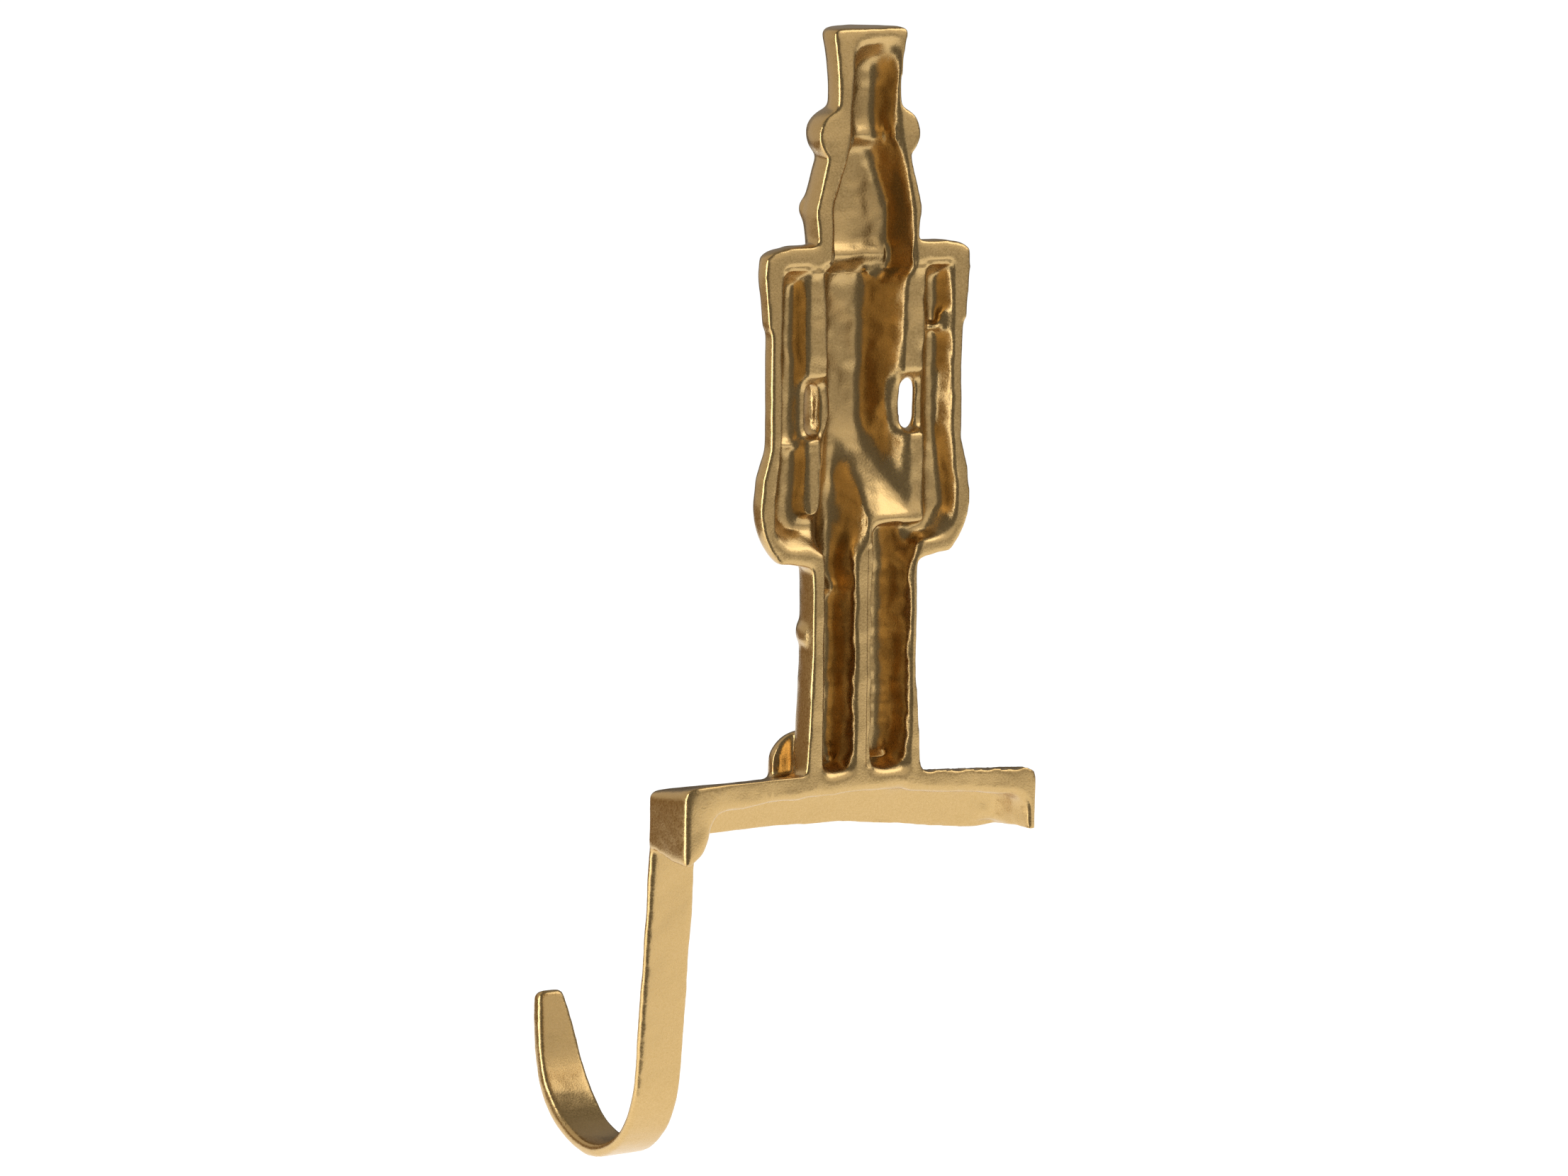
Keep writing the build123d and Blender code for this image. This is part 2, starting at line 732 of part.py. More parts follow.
def hook():
    """Flat strip that runs down from the apron and round into a J, narrower and thicker at its tip."""
    lean = radians(shank_lean)
    tilt = radians(limb_lean)
    down = Vector(-sin(lean), -cos(lean))
    ahead = Vector(-cos(lean), sin(lean))
    outward = Vector(-cos(tilt), -sin(tilt))
    upward = Vector(-sin(tilt), cos(tilt))
    root = down * (-apron_rise - overlap)
    reach = hook_drop - hook_radius + (strip_thickness + hook_radius) * sin(lean)
    centre = ahead * (strip_thickness + hook_radius) + down * (reach / cos(lean))
    limb = upward * ((tip_rise - hook_radius + hook_radius * sin(tilt)) / cos(tilt))
    limb_in = centre + outward * hook_radius
    limb_out = limb_in + outward * tip_thickness
    outer_radius = hook_radius + (strip_thickness + tip_thickness) / 2
    outer_reach = limb_out.dot(outward) - outer_radius * (1 + ahead.dot(outward))
    outer_centre = ahead * outer_radius + down * (outer_reach / down.dot(outward))
    shank_in = centre - ahead * hook_radius
    shank_out = outer_centre - ahead * outer_radius
    bend_out = outer_centre + outward * outer_radius
    below = Vector(0, -1)
    side = Plane.YZ * face_of(
        Line(root + ahead * strip_thickness, shank_in),
        ThreePointArc(shank_in, centre + below * hook_radius, limb_in),
        Line(limb_in, limb_in + limb),
        Line(limb_in + limb, limb_out + limb),
        Line(limb_out + limb, bend_out),
        ThreePointArc(bend_out, outer_centre + below * outer_radius, shank_out),
        Line(shank_out, root),
    )
    strip = extrude(side, amount=strip_width / 2, both=True)
    strip -= both_sides(tip_narrowing(centre, limb_out + limb))
    corners = strip.edges().filter_by(lambda e: e.length < tip_thickness + touch and e.center().Z < 0)
    strip = fillet(corners, tip_corner)
    long_edges = strip.edges().filter_by(lambda e: e.center().Z < apron_rise)
    return Pos(base_half - strip_inset - strip_width / 2, 0, 0) * chamfer(long_edges, strip_edge)


def tip_narrowing(centre, tip):
    """Waste beside the J's front half, where its edge curves in from the strip's full width to the tip's."""
    radial = Vector(0, -1, -1).normalized()
    waste = Plane(origin=(0, centre.X, centre.Y), x_dir=(1, 0, 0), z_dir=radial)
    length = (Vector(0, tip.X, tip.Y) - waste.origin).dot(waste.y_dir)
    half = strip_width / 2
    curve = TangentArc((half, 0), (tip_width / 2, length), tangent=(0, 1))
    return extrude(
        waste
        * face_of(
            curve,
            Line((tip_width / 2, length), (tip_width / 2, 2 * length)),
            Line((tip_width / 2, 2 * length), (strip_width, 2 * length)),
            Line((strip_width, 2 * length), (strip_width, 0)),
        ),
        amount=beyond,
    )


def stocking_holder():
    """The whole casting."""
    cast = figure() + base() - apron_cut() - seat_cut() - hollow_back()
    return cast + hook()


os.makedirs("parts", exist_ok=True)
holder = stocking_holder()
export_step(holder, "parts/stocking_holder_casting.step")
print("solids", len(holder.solids()), "volume", round(holder.volume), "size", holder.bounding_box().size)
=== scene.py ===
# %% [markdown]
# # Mantel stocking holder: a nutcracker soldier cast in one piece
#
# The holder stands on a mantel. A stocking hangs from the flat hook below it. The picture shows its back,
# where the casting is open and hollow. Everything here is in metres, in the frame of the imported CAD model:
# Z is up, the soldier faces -Y, the open back faces +Y, and the hook is at the +X end. Near means on the
# hook's side, which is nearer to the camera, and far the other side. Lists of sizes are in millimetres.

# %% Load the frame
import math

import bmesh
import bpy
from mathutils import Euler, Matrix, Vector, noise
from mathutils.bvhtree import BVHTree
from mathutils.kdtree import KDTree


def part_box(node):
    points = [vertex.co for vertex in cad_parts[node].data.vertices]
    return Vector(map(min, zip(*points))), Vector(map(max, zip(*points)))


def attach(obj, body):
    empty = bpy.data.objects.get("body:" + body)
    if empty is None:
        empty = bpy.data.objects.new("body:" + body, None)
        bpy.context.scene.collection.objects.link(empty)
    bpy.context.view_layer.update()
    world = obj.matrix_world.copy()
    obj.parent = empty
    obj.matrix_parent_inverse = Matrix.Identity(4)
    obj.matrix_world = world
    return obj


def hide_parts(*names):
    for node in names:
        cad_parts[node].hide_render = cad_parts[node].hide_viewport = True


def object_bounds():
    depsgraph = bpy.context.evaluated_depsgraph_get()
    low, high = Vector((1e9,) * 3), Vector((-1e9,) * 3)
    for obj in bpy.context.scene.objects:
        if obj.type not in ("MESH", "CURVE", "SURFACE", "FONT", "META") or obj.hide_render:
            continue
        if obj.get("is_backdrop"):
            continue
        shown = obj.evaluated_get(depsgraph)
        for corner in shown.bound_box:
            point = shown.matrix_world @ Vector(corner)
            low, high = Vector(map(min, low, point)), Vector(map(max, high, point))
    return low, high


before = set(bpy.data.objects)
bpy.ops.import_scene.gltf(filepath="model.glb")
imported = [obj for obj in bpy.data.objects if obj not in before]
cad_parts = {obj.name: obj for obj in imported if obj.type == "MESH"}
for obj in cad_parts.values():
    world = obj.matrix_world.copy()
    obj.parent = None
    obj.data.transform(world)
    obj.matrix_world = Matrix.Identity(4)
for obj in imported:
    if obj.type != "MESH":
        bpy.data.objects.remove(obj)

MM = 0.001
CASTING = "stocking_holder_casting"
cad_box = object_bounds()
low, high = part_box(CASTING)
print("nodes:", sorted(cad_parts))
print("size in mm:", [round(side / MM, 1) for side in high - low])

# %% [markdown]
# ## The camera
#
# The holder was photographed from behind and from the hook's side, a little above its middle, through a
# long lens. The camera could be put at a place and turned by hand until the picture fits. Here its place
# comes from what it looks at instead: a target point, two angles and a distance. Its three axes are worked
# out from the angles, so the small roll of the real picture is one more turn of those axes.

# %% Camera
SENSOR_MM = 36.0
LENS_MM = 130.2
NEAREST, FURTHEST = 0.05, 50.0
TARGET = Vector((20.50, 15.5, 58.71)) * MM
DISTANCE = 1203 * MM
AZIMUTH = math.radians(150.0)
ELEVATION = math.radians(9.52)
ROLL = math.radians(0.483)


def camera_axes(azimuth, elevation, roll):
    """Right, up and backward axes of a camera that looks down from these angles."""
    level = math.cos(elevation)
    back = Vector((math.sin(azimuth) * level, -math.cos(azimuth) * level, math.sin(elevation)))
    right = Vector((math.cos(azimuth), math.sin(azimuth), 0))
    up = back.cross(right)
    rolled_right = right * math.cos(roll) + up * math.sin(roll)
    rolled_up = up * math.cos(roll) - right * math.sin(roll)
    return rolled_right, rolled_up, back


def add_camera():
    """The photograph's camera, made the scene's own."""
    data = bpy.data.cameras.new("photo_camera")
    data.sensor_width = SENSOR_MM
    data.lens = LENS_MM
    data.clip_start = NEAREST
    data.clip_end = FURTHEST
    camera = bpy.data.objects.new("photo_camera", data)
    right, up, back = camera_axes(AZIMUTH, ELEVATION, ROLL)
    turn = Matrix((right, up, back)).transposed().to_4x4()
    camera.matrix_world = Matrix.Translation(TARGET + back * DISTANCE) @ turn
    bpy.context.scene.collection.objects.link(camera)
    bpy.context.scene.camera = camera
    return camera


camera = add_camera()
print("camera at, in mm:", [round(c / MM) for c in camera.matrix_world.translation])

# %% [markdown]
# ## Colours and nodes
#
# Colours are easiest to judge as sRGB hex values, as a picture shows them, while shaders work in linear
# light. One function turns the first into the second. Another adds any node to a tree, gives it its
# settings and links its inputs, so that each material below reads as a list of what it is made of.

# %% Colours and nodes


def linear(hex_colour):
    """Linear RGBA of an sRGB hex colour."""
    channels = [int(hex_colour[i : i + 2], 16) / 255 for i in (1, 3, 5)]
    return [c / 12.92 if c <= 0.04045 else ((c + 0.055) / 1.055) ** 2.4 for c in channels] + [1.0]


def add_node(tree, kind, inputs=None, **settings):
    """A node of this kind with its settings, and with each input set to a value or linked to a socket."""
    node = tree.nodes.new(kind)
    for name, value in settings.items():
        setattr(node, name, value)
    for name, value in (inputs or {}).items():
        if isinstance(value, bpy.types.NodeSocket):
            tree.links.new(value, node.inputs[name])
        else:
            node.inputs[name].default_value = value
    return node


print("a warm gold in linear light:", [round(c, 3) for c in linear("#D9B36C")])

# %% [markdown]
# ## The casting's form
#
# The real holder is poured into a mould, fettled and plated, so no edge on it is sharp: rims are softly
# rounded, and the walls of the hollow run into its floor like wax. The solid has crisp edges. Bevels on
# hundreds of edges that meet at odd angles would fail in places. A voxel remesh makes one even skin of
# small faces instead, and smoothing then rounds each edge by the same small amount.
#
# The remesh also melts together forms that only overlap. So what the mould left on the plain solid is put
# into the mesh first, as closed bars and lumps that sink a little into the metal. A bar is a row of rings
# of points, which is enough for a cove, a lip or a ramp.

# %% Casting: bars and lumps


def along_x(section, stations):
    """Rings of a section in Y and Z at stations, each a place along X and a rise."""
    return [[(x, y, z + rise) for y, z in section] for x, rise in stations]


def upright(outline, heights):
    """Rings of an outline in X and Y at these heights."""
    return [[(x, y, z) for x, y in outline] for z in heights]


def add_bar(form, rings):
    """Closed bar through rings of points in mm."""
    rows = [[form.verts.new(Vector(point) * MM) for point in ring] for ring in rings]
    for row, after in zip(rows, rows[1:]):
        for n in range(len(row)):
            form.faces.new((row[n - 1], row[n], after[n], after[n - 1]))
    form.faces.new(rows[0][::-1])
    form.faces.new(rows[-1])


def add_lump(form, middle, half):
    """Rounded lump of metal with these half sizes in mm."""
    place = Matrix.Translation(Vector(middle) * MM) @ Matrix.Diagonal(Vector(half) * MM).to_4x4()
    bmesh.ops.create_icosphere(form, subdivisions=3, radius=1.0, matrix=place)


print("a bar's rings:", along_x([(0, 0), (1, 0), (0, 1)], [(-5, 0), (5, 2)]))

# %% [markdown]
# ## The base's front wall
#
# The front wall of the base isn't a plain plate. A cove thickens it towards its top, a rounded corner joins
# it to the far foot, and its lower edge sinks to a lip at that end, which runs out along the foot. They
# could be sculpted. As four bars they keep sizes in millimetres that can be read and changed.

# %% Casting: bars of the base
COVE_SECTION = [(-1.0, 3.2), (0.0, 3.2), (1.3, 7.0), (3.2, 11.2), (3.2, 12.2), (-1.0, 12.2)]
COVE = [(-42.4, -3.3), (-13.4, 0.0), (13.4, 0.6), (36.4, 0.0)]
CORNER = [
    (-43.0, -1.0), (-34.0, -1.0), (-35.0, 0.4), (-38.2, 1.8),
    (-40.2, 4.6), (-41.0, 9.0), (-43.0, 9.0),
]
CORNER_HEIGHTS = (0.4, 9.0)
LIP_SECTION = [(-2.5, 0.0), (-0.1, 0.0), (-0.1, 4.0), (-2.5, 4.0)]
LIP = [
    (-44.0, -1.2), (-41.0, -1.7), (-38.0, -1.9), (-33.0, -1.4), (-26.0, -0.5),
    (-18.0, 0.7), (-11.0, 1.6), (-4.0, 2.5), (3.0, 3.4),
]
LIP_END_SECTION = [(-2.5, -1.4), (0.0, -1.3), (10.0, -0.1), (10.0, 2.0), (-2.5, 2.0)]
LIP_END = [(-44.0, 0.0), (-41.6, 0.0)]

base_bars = [
    along_x(COVE_SECTION, COVE),
    upright(CORNER, CORNER_HEIGHTS),
    along_x(LIP_SECTION, LIP),
    along_x(LIP_END_SECTION, LIP_END),
]
print("bars of the base:", len(base_bars))

# %% [markdown]
# ## Legs, skirt and flaws
#
# The trough of the back ends in a bowl above the legs, whose far half rises as a ramp. A land about 5 mm
# wide parts the two leg pockets, and the pockets stop where the base begins. These are bars too. The lumps
# are places where metal ran into flaws of the core: a blob with its tail in the far arm, a scar in the near
# arm, and two in the near leg.

# %% Casting: bars and lumps of the figure
SKIRT_SECTION = [(15.0, 73.4), (3.0, 90.0), (1.5, 90.0), (1.5, 70.0), (15.0, 70.0)]
SKIRT = [(-11.0, 0.0), (-5.0, 0.0), (1.0, 0.0)]
LEG_LAND = [(0.6, 15.5), (3.0, 15.5), (3.0, 13.5), (2.6, 5.2), (0.6, 5.2)]
LEG_LAND_HEIGHTS = (17.0, 67.0)
LEG_FEET_SECTION = [(15.5, 12.2), (15.5, 16.6), (14.0, 17.8), (8.0, 19.0), (8.0, 12.2)]
LEG_FEET = [(-10.4, 0.0), (9.6, 0.0)]
LUMPS = [
    ((-19.6, 12.6, 114.6), (1.3, 1.5, 1.3)),
    ((-18.0, 12.2, 112.2), (2.8, 1.9, 0.9)),
    ((17.0, 11.2, 88.6), (2.2, 1.2, 0.9)),
    ((5.6, 6.6, 56.5), (2.4, 1.6, 1.5)),
    ((5.0, 5.6, 34.5), (3.0, 1.4, 1.3)),
]

figure_bars = [
    along_x(SKIRT_SECTION, SKIRT),
    upright(LEG_LAND, LEG_LAND_HEIGHTS),
    along_x(LEG_FEET_SECTION, LEG_FEET),
]
print("bars of the figure:", len(figure_bars), "and lumps:", len(LUMPS))

# %% [markdown]
# ## One even skin
#
# The bars and lumps join a copy of the solid's mesh, because the CAD object itself stays as it is. The
# voxels of the remesh are half a millimetre, small enough for the soldier's buttons.

# %% Casting: one even skin
VOXEL = 0.5 * MM
WELD = 0.001 * MM


def moulded_mesh(node, bars, lumps):
    """Copy of a CAD node's mesh with what the mould left."""
    mesh = node.data.copy()
    form = bmesh.new()
    form.from_mesh(mesh)
    bmesh.ops.remove_doubles(form, verts=form.verts, dist=WELD)
    for rings in bars:
        add_bar(form, rings)
    for middle, half in lumps:
        add_lump(form, middle, half)
    bmesh.ops.recalc_face_normals(form, faces=form.faces)
    form.to_mesh(mesh)
    form.free()
    return mesh


def applied(source):
    """The mesh that an object has after its modifiers, which are then cleared."""
    graph = bpy.context.evaluated_depsgraph_get()
    source.data = bpy.data.meshes.new_from_object(source.evaluated_get(graph))
    source.data.name = source.name
    source.modifiers.clear()


def skin_of(mesh):
    """Object with this mesh as one closed skin of even small faces."""
    skin = bpy.data.objects.new("gold_casting", mesh)
    bpy.context.scene.collection.objects.link(skin)
    remesh = skin.modifiers.new("even_skin", "REMESH")
    remesh.mode = "VOXEL"
    remesh.voxel_size = VOXEL
    applied(skin)
    return skin


raw = moulded_mesh(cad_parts[CASTING], base_bars + figure_bars, LUMPS)
print("faces before the remesh:", len(raw.polygons))
casting = skin_of(raw)
print("faces after the remesh:", len(casting.data.polygons))

# %% [markdown]
# ## The sunk ledge
#
# The ledge above the near leg's pocket lies deeper than the rims. A bar can only add metal, and a boolean
# cut would leave a sharp edge. So the vertices over the ledge are pressed down, most in the middle of an
# oval.

# %% Casting: sink the ledge
LEDGE = (5.8, 72.0)  # middle of the oval in X and Z
LEDGE_REACH = (5.4, 9.0)
LEDGE_DEPTH = 6.0


def sink_ledge(piece):
    """Let the ledge above the near leg's pocket lie deeper than the rims, and count what moved."""
    moved = 0
    for vertex in piece.data.vertices:
        place = vertex.co / MM
        across = (place.x - LEDGE[0]) / LEDGE_REACH[0]
        along = (place.z - LEDGE[1]) / LEDGE_REACH[1]
        away = Vector((across, along)).length
        floor_y = high.y - LEDGE_DEPTH * (1 - away ** 3) * MM
        if away < 1 and vertex.co.y > floor_y:
            vertex.co.y = floor_y
            moved += 1
    return moved


print("vertices pressed down:", sink_ledge(casting))

# %% [markdown]
# ## Where the hollow is
#
# The mould's core that left the hollow was softer in form than the outside, so the hollow is smoothed more.
# A vertex belongs to it if, from a point just off the surface, the way back to the rear is open and the way
# to the front is closed by metal. Rays answer that without any list of places. On the flat rims the share
# falls off within 2 mm, so that the rims roll over into the hollow.

# %% Casting: find the hollow
SEAT = 0.0  # the mantel's top, above which the hollow lies
LIFT = 1.2 * MM
RIM_SKIN = 0.4 * MM
RIM_ROLL = 1.8 * MM


def hollow_shares(piece):
    """Share from 0 to 1 by which each vertex belongs to the open back's hollow."""
    tree = BVHTree.FromObject(piece, bpy.context.evaluated_depsgraph_get())
    rearward = Vector((0, 1, 0))
    shares = [0.0] * len(piece.data.vertices)
    rim = []
    for vertex in piece.data.vertices:
        if vertex.co.z < SEAT:
            continue
        if vertex.co.y > high.y - RIM_SKIN:
            rim.append(vertex)
            continue
        point = vertex.co + vertex.normal * LIFT
        open_behind = tree.ray_cast(point, rearward)[0] is None
        if open_behind and tree.ray_cast(point, -rearward)[0] is not None:
            shares[vertex.index] = 1.0
    inside = [n for n, share in enumerate(shares) if share]
    near = KDTree(len(inside))
    for n in inside:
        near.insert(piece.data.vertices[n].co, n)
    near.balance()
    for vertex in rim:
        shares[vertex.index] = max(0.0, 1 - near.find(vertex.co)[2] / RIM_ROLL)
    return shares


shares = hollow_shares(casting)
print("vertices in the hollow:", sum(share == 1 for share in shares), "of", len(shares))

# %% [markdown]
# ## Soft edges
#
# Smooth modifiers do the rounding. Each pass moves a vertex towards its neighbours, so more passes give a
# rounder form. All edges get a few. The rear half gets more, since its rims look rubbed down. The hollow
# gets most, though less in the narrow channels of the arms, which would fill up. A few spots melt further:
# the bowl, the ledge, the boot's band, the corner at the far foot, the block over the hook, and the top of
# the hat's pocket. Vertex groups hold how much of each kind a place takes.

# %% Casting: how soft each place is
ARM_SHARE = 0.15
ARM_INSIDE = 9.0
HANDS = 70.0
REAR_FROM = -6.0
REAR_FULL = 6.0
SOFT_SPOTS = [  # middle, reach and share
    ((0, 8, 82), 15, 1.0),
    ((6, 10, 71), 9, 1.0),
    ((13, -7, 47.3), 9, 0.8),
    ((-38, 4, 4), 6, 1.0),
    ((44, 15, 9), 14, 0.2),
    ((-2, 10, 171), 8, 1.0),
]


def hollow_weight(place, share):
    """Softness of the hollow at a place in mm."""
    in_arm = abs(place.x) > ARM_INSIDE and place.z > HANDS
    return share * (ARM_SHARE if in_arm else 1)


def rear_weight(place, share):
    """Softness of the rear half, full from a little behind the middle."""
    return min(1, (place.y - REAR_FROM) / (REAR_FULL - REAR_FROM))


def spot_weight(place, share):
    """Softness of the melted spots, full within half of each one's reach."""
    aways = [((place - Vector(spot)).length / reach, part) for spot, reach, part in SOFT_SPOTS]
    return max(part * min(1, 2 - 2 * away) for away, part in aways)


def add_group(piece, name, weight_at):
    """Vertex group with the weight of each place that has one."""
    group = piece.vertex_groups.new(name=name)
    for vertex, share in zip(piece.data.vertices, shares):
        weight = weight_at(vertex.co / MM, share)
        if weight > 0:
            group.add([vertex.index], weight, "REPLACE")


add_group(casting, "hollow", hollow_weight)
add_group(casting, "melted", spot_weight)
add_group(casting, "rear", rear_weight)
print("groups:", [group.name for group in casting.vertex_groups])

# %% Casting: round the edges
PASSES = [  # name, passes and group
    ("rounded_edges", 6, ""),
    ("rounded_rear", 20, "rear"),
    ("soft_hollow", 110, "hollow"),
    ("melted", 240, "melted"),
]


def add_smoothing(piece, name, passes, group):
    """Smoothing by this many passes, within a vertex group if one is named."""
    smooth = piece.modifiers.new(name, "SMOOTH")
    smooth.factor = 0.5
    smooth.iterations = passes
    smooth.vertex_group = group


for name, passes, group in PASSES:
    add_smoothing(casting, name, passes, group)
applied(casting)
casting.vertex_groups.clear()
print("smoothed by passes:", {name: passes for name, passes, group in PASSES})

# %% [markdown]
# ## A cast surface
#
# Poured metal keeps slow waves from its mould all over. In the hollow, which nobody fettles, the waves are
# deeper, the legs' long pockets are rippled across, and two low ribs cross the hollow where the head meets
# the hat and the shoulders. A crease runs down the land between the legs, and the top of the base's far arm
# has shallow flutes. A displace modifier takes one texture for the whole piece. Here each kind of wave has
# its own size and place, so the vertices are moved in code, by smooth noise at sizes in mm.

# %% Casting: heights of the waves
SETTLE = 0.12  # by which the skin sinks, so that its waves stay inside the casting's box
SKEW = Euler((0.5, 0.7, 0.9)).to_matrix()  # turns the noise's grid away from the flat faces
WAVES = [(0.22, 9.0), (0.06, 2.6)]  # height and size
HOLLOW_WAVES = [(0.42, 7.0), (0.14, 2.9)]
RIPPLE = 0.22
RIPPLE_SIZE = (7.0, 7.0, 2.2)
RIPPLED = (12.0, 64.0)
RIBS = [(128.0, 1.4, 2.0), (153.5, 1.2, 1.8)]  # place in Z, height and half breadth
NECK = 100.0
CREASE = (-1.1, 0.6, 0.5)  # place in X, depth and half breadth
CREASED = (18.0, 66.0)
FLUTE_DEPTH = 0.6
FLUTE_SPACING = 3.7
FLUTED_FROM = -13.0
FLUTED = (6.0, 18.0)
FACING, FLAT = 0.3, 0.7  # least share of a normal on a face that looks to a side, and on a flat one
LAND_SKIN = 1.5


def bump(distance, half):
    """Smooth bump that is 1 in its middle."""
    return math.exp(-((distance / half) ** 2))


def noise_of(turned, waves):
    """Waves of these heights and sizes at a turned place."""
    return sum(height * noise.noise(turned / size) for height, size in waves)


def height_at(place, normal, share):
    """Height in mm of the cast surface above the drawn one, at a place in mm."""
    turned = SKEW @ place
    height = noise_of(turned, WAVES) - SETTLE + share * noise_of(turned, HOLLOW_WAVES)
    if share == 1 and RIPPLED[0] < place.z < RIPPLED[1]:
        height += RIPPLE * noise.noise(SKEW @ Vector(c / size for c, size in zip(place, RIPPLE_SIZE)))
    if share == 1 and normal.y > FACING and place.z > NECK:
        height += sum(rise * normal.y * bump(place.z - z, half) for z, rise, half in RIBS)
    if normal.y > FLAT and place.y > high.y / MM - LAND_SKIN and CREASED[0] < place.z < CREASED[1]:
        height -= CREASE[1] * bump(place.x - CREASE[0], CREASE[2])
    if place.x < FLUTED_FROM and FLUTED[0] < place.z < FLUTED[1] and normal.z > FACING:
        height -= FLUTE_DEPTH * abs(math.sin(math.pi * place.x / FLUTE_SPACING)) * normal.z
    return height


rim_places = [Vector((x, high.y / MM, 100)) for x in range(5)]
print("waves on a flat rim, in mm:", [round(height_at(at, Vector((0, 1, 0)), 0), 2) for at in rim_places])

# %% Casting: move the skin
EDGE = 0.01 * MM  # by which the skin stays inside the casting's box


def wave_surface(piece):
    """Move each vertex by the waves, and no further out than the casting's box."""
    normals = [vertex.normal.copy() for vertex in piece.data.vertices]
    for vertex, normal, share in zip(piece.data.vertices, normals, shares):
        place = vertex.co + normal * height_at(vertex.co / MM, normal, share) * MM
        vertex.co = [min(max(c, a + EDGE), b - EDGE) for c, a, b in zip(place, low, high)]
    piece.data.update()


wave_surface(casting)
print("waved skin in mm:", [round(side / MM, 2) for side in casting.dimensions])

# %% [markdown]
# ## Fewer faces
#
# Half-millimetre faces all over are more than the flat parts need. A decimate modifier takes faces from
# flat places first, so the rims and the face keep theirs.

# %% Casting: thin out
TRIANGLES = 190000

thin = casting.modifiers.new("thin_out", "DECIMATE")
thin.ratio = min(1.0, TRIANGLES / (2 * len(casting.data.polygons)))
applied(casting)
casting.data.shade_smooth()
print("triangles of the finished skin:", sum(len(face.vertices) - 2 for face in casting.data.polygons))

# %% [markdown]
# ## Satin gold plate
#
# Holders like this are cast in zinc alloy or iron, blasted with fine grit and plated in a pale, warm gold.
# Blasting leaves a satin sheen: highlights are broad and soft, and the flat rims sparkle with a fine sandy
# grain. An even gold would look like plastic. So one noise at the size of the grit drives three things at
# once: a small bump, a small change of roughness, and a change between two golds that differ little.

# %% Material
GRIT_MM = 0.45  # real grit leaves about 0.1 mm, too fine to show in the picture, so it is drawn coarser
GRIT_DEPTH_MM = 0.1
GRIT_BUMP = 0.3
GRIT_RANGE = {"From Min": 0.3, "From Max": 0.7}
DEEP_GOLD, PALE_GOLD = "#BC9D68", "#C7A874"
SATIN = {"To Min": 0.24, "To Max": 0.33}


def satin_gold():
    """Satin gold plate over a blasted casting: broad highlights, a fine sparkle and deep warm hollows."""
    material = bpy.data.materials.new("satin_gold_plate")
    material.use_nodes = True
    tree = material.node_tree
    tree.nodes.clear()
    place = add_node(tree, "ShaderNodeTexCoord").outputs["Object"]
    grit = add_node(
        tree,
        "ShaderNodeTexNoise",
        {"Vector": place, "Scale": 1 / (GRIT_MM * MM), "Detail": 2.0, "Roughness": 0.5},
    ).outputs["Fac"]
    speck = add_node(tree, "ShaderNodeMapRange", {"Value": grit, **GRIT_RANGE})
    # a mix node has sockets for every kind of data, and those for colours are inputs 6 and 7 and output 2
    golds = {"Factor": speck.outputs["Result"], 6: linear(DEEP_GOLD), 7: linear(PALE_GOLD)}
    colour = add_node(tree, "ShaderNodeMix", golds, data_type="RGBA")
    sheen = add_node(tree, "ShaderNodeMapRange", {"Value": grit, **GRIT_RANGE, **SATIN})
    pits = {"Height": grit, "Strength": GRIT_BUMP, "Distance": GRIT_DEPTH_MM * MM}
    grain = add_node(tree, "ShaderNodeBump", pits)
    shader = add_node(
        tree,
        "ShaderNodeBsdfPrincipled",
        {
            "Base Color": colour.outputs[2],
            "Metallic": 1.0,
            "Roughness": sheen.outputs["Result"],
            "Normal": grain.outputs["Normal"],
        },
    )
    add_node(tree, "ShaderNodeOutputMaterial", {"Surface": shader.outputs["BSDF"]})
    return material


casting.data.materials.clear()
casting.data.materials.append(satin_gold())
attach(casting, "root")
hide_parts(CASTING)
print("material:", casting.data.materials[0].name)

# %% [markdown]
# ## Floor and room
#
# Metal shows what is around it, so the room is part of the finish. The floor is wide white paper. It glows
# a little, as paper does that is lit from below, and more so where the camera or the metal looks at it, so
# that it is white up to the far edge and still keeps the holder's shadow. More light would whiten it too,
# and would bleach the gold. The room is white to the camera, to metal and to glass, and a soft grey as a
# source of light.

# %% Floor and room
FLOOR_DROP = 60 * MM
FLOOR_RADIUS = 9.0
PAPER = "#EDEDEB"
PAPER_GLOW = {"To Min": 0.45, "To Max": 0.76}  # as light, and to the eye
ROOM_GLOW = {"To Min": 0.34, "To Max": 1.0}


def seen_rays(tree):
    """Socket that is 1 for rays that look at a thing, also by way of metal or glass, and 0 for light."""
    ray = add_node(tree, "ShaderNodeLightPath").outputs
    seen = ray["Is Camera Ray"]
    for kind in ("Is Glossy Ray", "Is Transmission Ray"):
        both = add_node(tree, "ShaderNodeMath", {0: seen, 1: ray[kind]}, operation="ADD", use_clamp=True)
        seen = both.outputs["Value"]
    return seen


def white_paper():
    """White paper, which is matt and glows a little."""
    material = bpy.data.materials.new("white_paper")
    material.use_nodes = True
    tree = material.node_tree
    tree.nodes.clear()
    level = add_node(tree, "ShaderNodeMapRange", {"Value": seen_rays(tree), **PAPER_GLOW})
    paper = add_node(tree, "ShaderNodeBsdfDiffuse", {"Color": linear(PAPER)})
    glow = add_node(tree, "ShaderNodeEmission", {"Strength": level.outputs["Result"]})
    both = add_node(tree, "ShaderNodeAddShader", {0: paper.outputs["BSDF"], 1: glow.outputs["Emission"]})
    add_node(tree, "ShaderNodeOutputMaterial", {"Surface": both.outputs["Shader"]})
    return material


